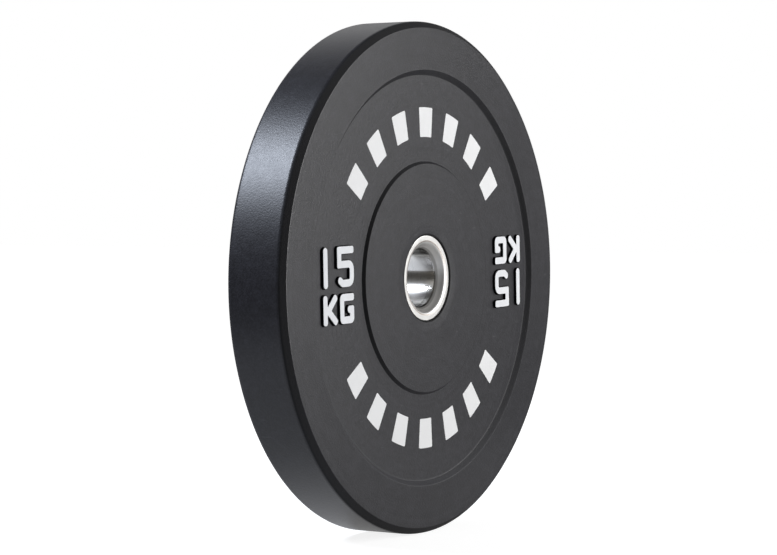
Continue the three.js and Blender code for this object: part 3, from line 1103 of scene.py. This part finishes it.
class PLATE_OT_stage(bpy.types.Operator):
    """White floor and surroundings, soft lamps and the camera"""

    bl_idname = "plate.stage"
    bl_label = "Stage"

    def execute(self, context):
        settings = context.scene.bumper_plate_stage
        self.floor(settings)
        self.world(context.scene, settings)
        for name in LAMPS:
            lamp(name, getattr(settings, name))
        self.camera(context.scene, settings)
        context.scene.view_settings.view_transform = "Standard"
        return {"FINISHED"}

    def floor(self, settings):
        """A pale floor under the plate.

        The camera sees it white, with the plate's shadow at its foot. Metal and gloss see it as a
        table round the plate, a pool of painted light brightest at its foot, behind it and on its
        right, and beyond the table as the surroundings over a floor painted dark.
        """
        material, finish = new_material("pale_floor", (0.9, 0.9, 0.9), 0.0, 0.9)
        seen = finish.node("ShaderNodeLightPath")
        place = finish.place()
        x, y, _ = finish.parted(place)
        away = finish.node("ShaderNodeVectorMath", {"operation": "LENGTH"}, {0: place})
        away = away.out("Value")
        near = 1.0 - away.step(0.25, 0.5)
        table = 1.0 - away.step(0.66, 0.74)
        foot = 1.0 - away.step(PLATE_RADIUS, PLATE_RADIUS + 0.08)
        behind = y.step(-0.03, 0.0)
        beside = x.step(0.05, 0.3)
        # Painted light: the floor's glow in reflections, most at the plate's foot, behind it and
        # on its right
        glow = (foot * 0.8 + 0.5) * (behind * 0.85 + beside * 0.8 + 0.45) * settings.table
        mirror = (seen.out("Is Glossy Ray") + seen.out("Is Transmission Ray")).clamped()
        plain = seen.out("Is Camera Ray") * (1.0 - near * 0.15)
        mirrored = mirror * (table * glow + (1.0 - table) * settings.surround)
        fine = finish.noise(place, 40.0, 3.0)
        # Painted shade: beyond the table the floor is dark in reflections
        shade = finish.toned(
            finish.mixed(fine, (0.49, 0.49, 0.49), (0.51, 0.51, 0.51)),
            (mirror * (1.0 - table), (0.02, 0.02, 0.02)),
        )
        lit = finish.node("ShaderNodeBsdfDiffuse", None, {"Color": shade})
        shining = finish.node("ShaderNodeEmission", None, {"Strength": plain + mirrored})
        both = finish.node("ShaderNodeAddShader", None, {0: lit, 1: shining})
        finish.node("ShaderNodeOutputMaterial", None, {"Surface": both})
        corners = [
            (right * FLOOR_REACH, back * FLOOR_REACH, -PLATE_RADIUS)
            for right, back in ((-1, -1), (1, -1), (1, 1), (-1, 1))
        ]
        mesh = bpy.data.meshes.new("floor")
        mesh.from_pydata(corners, [], [(0, 1, 2, 3)])
        mesh.materials.append(material)
        made = bpy.data.objects.new("floor", mesh)
        bpy.context.scene.collection.objects.link(made)
        made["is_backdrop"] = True

    def world(self, scene, settings):
        """White to the camera, dimmer in metal and gloss, and a weak light from all round."""
        scene.world = scene.world or bpy.data.worlds.new("studio")
        scene.world.use_nodes = True
        finish = Finish(scene.world.node_tree)
        seen = finish.node("ShaderNodeLightPath")
        camera = seen.out("Is Camera Ray")
        mirror = (seen.out("Is Glossy Ray") + seen.out("Is Transmission Ray")).clamped()
        strength = camera + mirror * settings.surround
        strength = strength + (1.0 - camera - mirror) * settings.ambient
        white = (1.0, 1.0, 1.0, 1.0)
        glow = finish.node("ShaderNodeBackground", None, {"Color": white, "Strength": strength})
        finish.node("ShaderNodeOutputWorld", None, {"Surface": glow})

    def camera(self, scene, settings):
        """A long lens at the front left, a little above the bore."""
        turn, rise = settings.camera_turn, settings.camera_rise
        back = Vector((
            -math.sin(turn) * math.cos(rise), -math.cos(turn) * math.cos(rise), math.sin(rise)))
        right = Vector((math.cos(turn), -math.sin(turn), 0.0))
        up = back.cross(right)
        data = bpy.data.cameras.new("camera")
        data.lens = settings.camera_lens
        data.sensor_width = 36.0
        data.clip_start, data.clip_end = 0.05, 100.0
        made = bpy.data.objects.new("camera", data)
        scene.collection.objects.link(made)
        made.location = right * AIM_RIGHT + up * AIM_UP + back * settings.camera_distance
        made.rotation_euler = Matrix((right, up, back)).transposed().to_euler()
        scene.camera = made


class PLATE_PT_sidebar(bpy.types.Panel):
    """Lists the plate's operators and settings in the 3D view's sidebar"""

    bl_idname = "PLATE_PT_sidebar"
    bl_label = "Bumper Plate"
    bl_space_type = "VIEW_3D"
    bl_region_type = "UI"
    bl_category = "Plate"

    def draw(self, context):
        for operator in OPERATORS:
            self.layout.operator(operator.bl_idname)
        for name in GROUPS:
            group = getattr(context.scene, name)
            box = self.layout.box()
            for key in group.bl_rna.properties.keys():
                if key not in {"rna_type", "name"}:
                    box.prop(group, key)


GROUPS = {
    "bumper_plate_sizes": BumperPlateSizes,
    "bumper_plate_finishes": BumperPlateFinishes,
    "bumper_plate_stage": BumperPlateStage,
}
OPERATORS = (
    PLATE_OT_rubber_disc,
    PLATE_OT_marking_bases,
    PLATE_OT_marking_tops,
    PLATE_OT_printed_arcs,
    PLATE_OT_hub_collars,
    PLATE_OT_hub_sleeve,
    PLATE_OT_hub_inside,
    PLATE_OT_stage,
)
CLASSES = (*GROUPS.values(), *OPERATORS, PLATE_PT_sidebar)


def register():
    """Registers the classes and puts the settings on the scene."""
    for own_class in CLASSES:
        bpy.utils.register_class(own_class)
    for name, group in GROUPS.items():
        setattr(bpy.types.Scene, name, bpy.props.PointerProperty(type=group))


def unregister():
    """Takes the settings off the scene and unregisters the classes."""
    for name in GROUPS:
        delattr(bpy.types.Scene, name)
    for own_class in reversed(CLASSES):
        bpy.utils.unregister_class(own_class)


def main():
    """Registers the add-on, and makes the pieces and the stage."""
    register()
    bpy.ops.plate.rubber_disc()
    bpy.ops.plate.marking_bases()
    bpy.ops.plate.marking_tops()
    bpy.ops.plate.printed_arcs()
    bpy.ops.plate.hub_collars()
    bpy.ops.plate.hub_sleeve()
    bpy.ops.plate.hub_inside()
    bpy.ops.plate.stage()
    boxes = {"cad": CAD_BOX, "visual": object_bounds()}
    {key: [list(corner) for corner in box] for key, box in boxes.items()}


if __name__ == "__main__":
    main()
